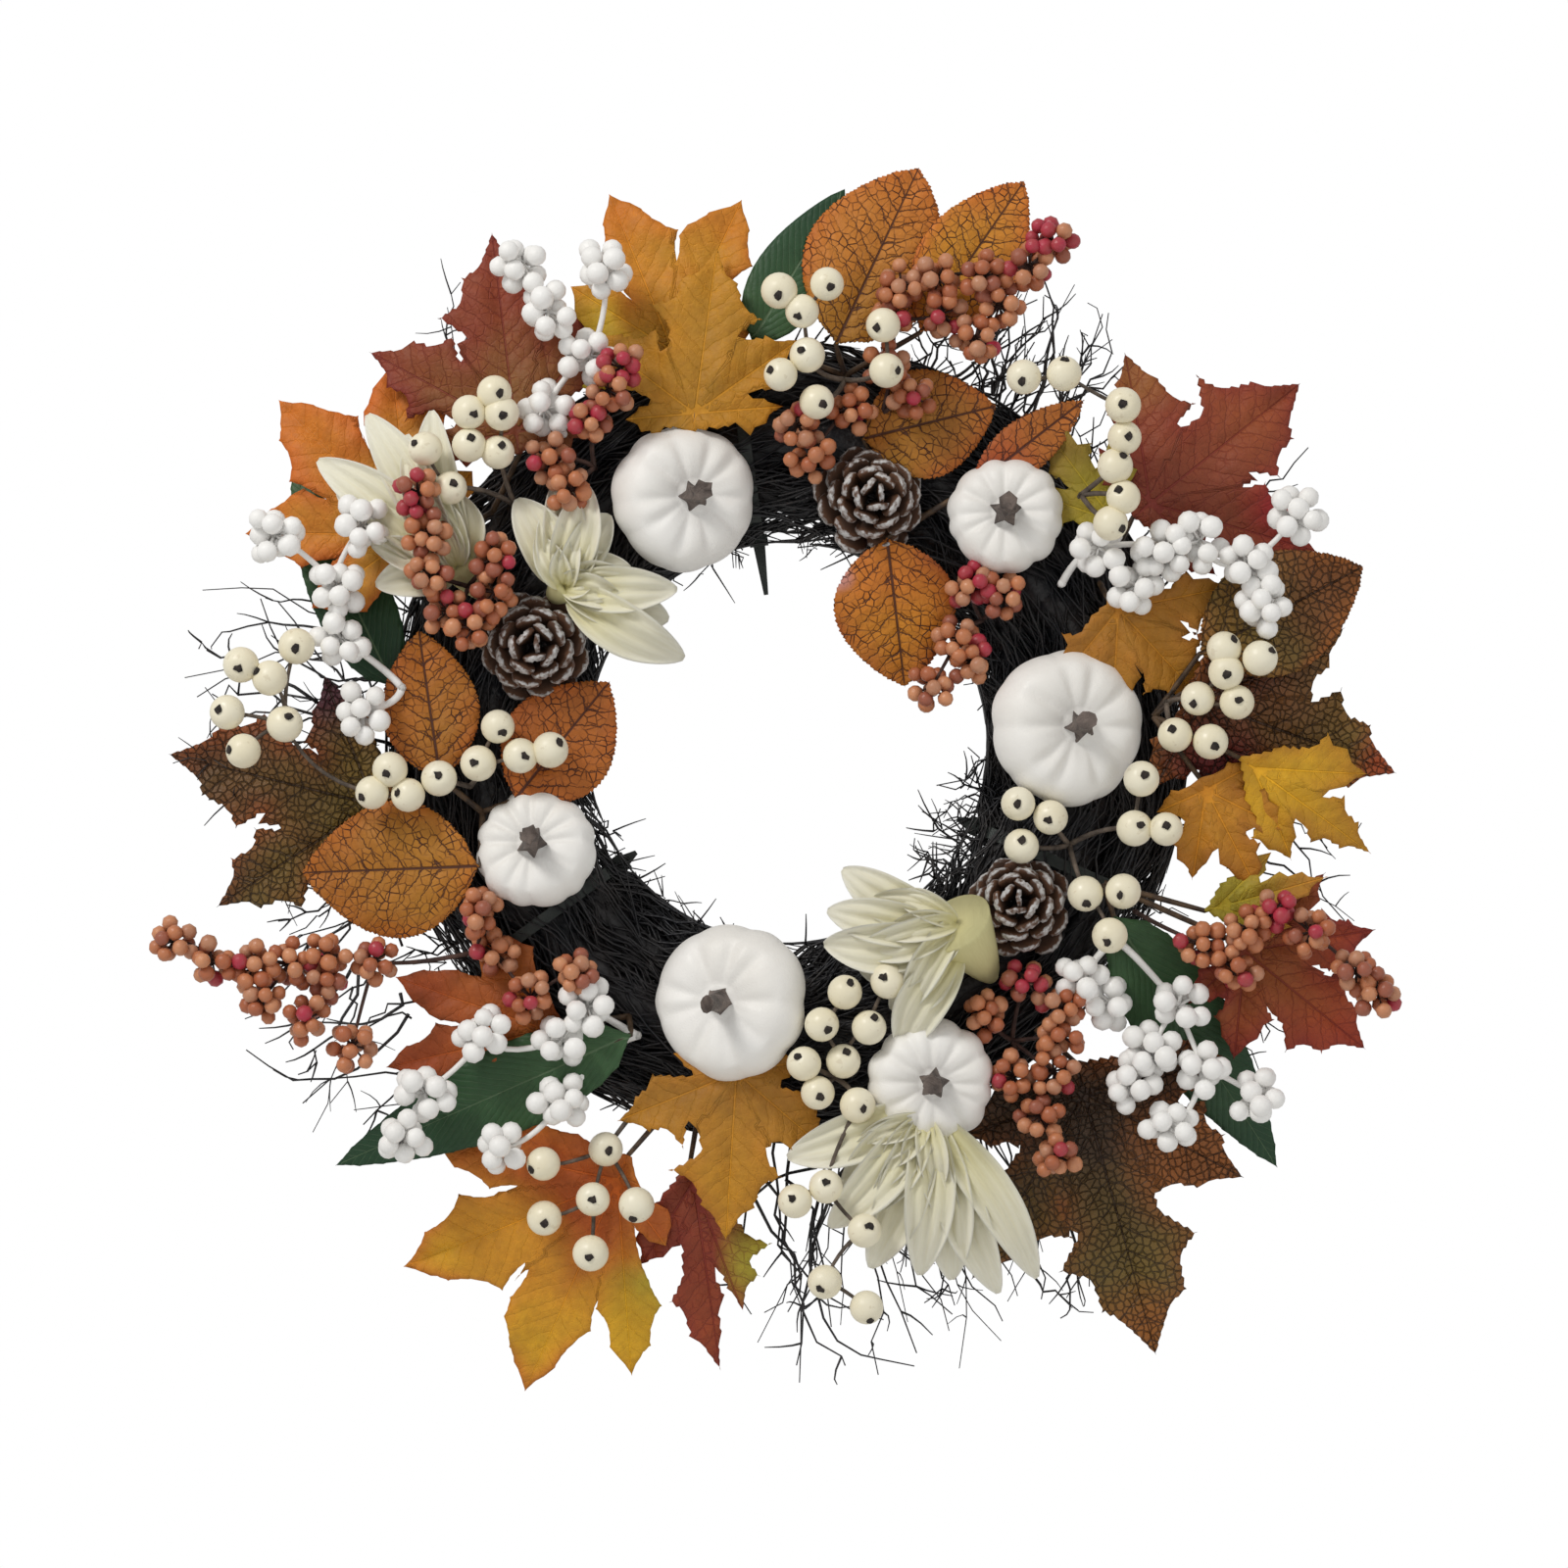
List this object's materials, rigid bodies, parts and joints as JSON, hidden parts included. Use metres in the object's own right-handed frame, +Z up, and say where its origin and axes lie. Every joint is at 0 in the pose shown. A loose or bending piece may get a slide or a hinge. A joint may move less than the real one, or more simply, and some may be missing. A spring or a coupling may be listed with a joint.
{
  "type": "harvest door wreath",
  "caption": "Twig ring dressed with leaf picks, berry sprays, small pumpkins, cones and flowers, hung on a door by a wire loop.",
  "frame": {"origin": "inner top of the hanging loop, where the door hook bears", "axes": "+Z up, the dressed front faces -Y, the flat back that lies on the door faces +Y, +X to the right as seen from the front"},
  "size_m": [0.4987, 0.1014, 0.4968],
  "materials": {
    "hoop_wire": "dull dark wire",
    "twig_bark": "matt blue-black bark",
    "tie_plastic": "satin dark green-black",
    "pumpkin_skin": "satin white coat",
    "pumpkin_stem": "matt grey-brown",
    "cone_scale": "matt brown with white frosted tips",
    "petal_ivory": "matt ivory, pale yellow at the base",
    "berry_cream": "satin ivory",
    "berry_white": "satin white",
    "berry_orange": "satin terracotta, tan and magenta",
    "leaf_autumn": "printed cloth in orange, ochre, red and brown",
    "leaf_green": "printed cloth in dark green"
  },
  "bodies": {
    "wreath": {"cable_tie_left": "tie_plastic", "cable_tie_right": "tie_plastic", "cable_tie_top": "tie_plastic", "cream_spray_bottom": "berry_cream", "cream_spray_left": "berry_cream", "cream_spray_low_left": "berry_cream", "cream_spray_low_right": "berry_cream", "cream_spray_right": "berry_cream", "cream_spray_top": "berry_cream", "cream_spray_top_left": "berry_cream", "cream_spray_top_right": "berry_cream", "flower_bottom": "petal_ivory", "flower_left": "petal_ivory", "flower_low_right": "petal_ivory", "flower_top_left": "petal_ivory", "foliage_pick_left": "leaf_green", "foliage_pick_low_left": "leaf_green", "foliage_pick_low_right": "leaf_green", "foliage_pick_top": "leaf_green", "maple_leaf_front": "leaf_autumn", "maple_pick_bottom": "leaf_autumn", "maple_pick_bottom_right": "leaf_autumn", "maple_pick_right": "leaf_autumn", "maple_pick_right_top": "leaf_autumn", "maple_pick_top": "leaf_autumn", "maple_pick_top_left": "leaf_autumn", "orange_spray_bottom_right": "berry_orange", "orange_spray_left": "berry_orange", "orange_spray_left_top": "berry_orange", "orange_spray_low_right": "berry_orange", "orange_spray_right": "berry_orange", "orange_spray_top_left": "berry_orange", "orange_spray_top_right": "berry_orange", "oval_pick_left": "leaf_autumn", "oval_pick_top_right": "leaf_autumn", "pine_cone_left": "cone_scale", "pine_cone_low_right": "cone_scale", "pine_cone_top": "cone_scale", "pumpkin_bottom": "pumpkin_skin", "pumpkin_left": "pumpkin_skin", "pumpkin_low_right": "pumpkin_skin", "pumpkin_right": "pumpkin_skin", "pumpkin_stem_bottom": "pumpkin_stem", "pumpkin_stem_left": "pumpkin_stem", "pumpkin_stem_low_right": "pumpkin_stem", "pumpkin_stem_right": "pumpkin_stem", "pumpkin_stem_top_left": "pumpkin_stem", "pumpkin_stem_top_right": "pumpkin_stem", "pumpkin_top_left": "pumpkin_skin", "pumpkin_top_right": "pumpkin_skin", "twig_bundle_bottom": "twig_bark", "twig_bundle_left": "twig_bark", "twig_bundle_right": "twig_bark", "white_spray_left": "berry_white", "white_spray_low_left": "berry_white", "white_spray_low_right": "berry_white", "white_spray_right": "berry_white", "white_spray_top_left": "berry_white", "wire_hoop": "hoop_wire"},
    "hanger": {"hanging_loop": "hoop_wire"}
  },
  "joints": [
    {"name": "hanger_swing", "type": "hinge", "parent": "wreath", "child": "hanger", "pos_m": [0, 0, -0.033], "axis": [-1, 0, 0], "range_deg": [0, 150]}
  ]
}
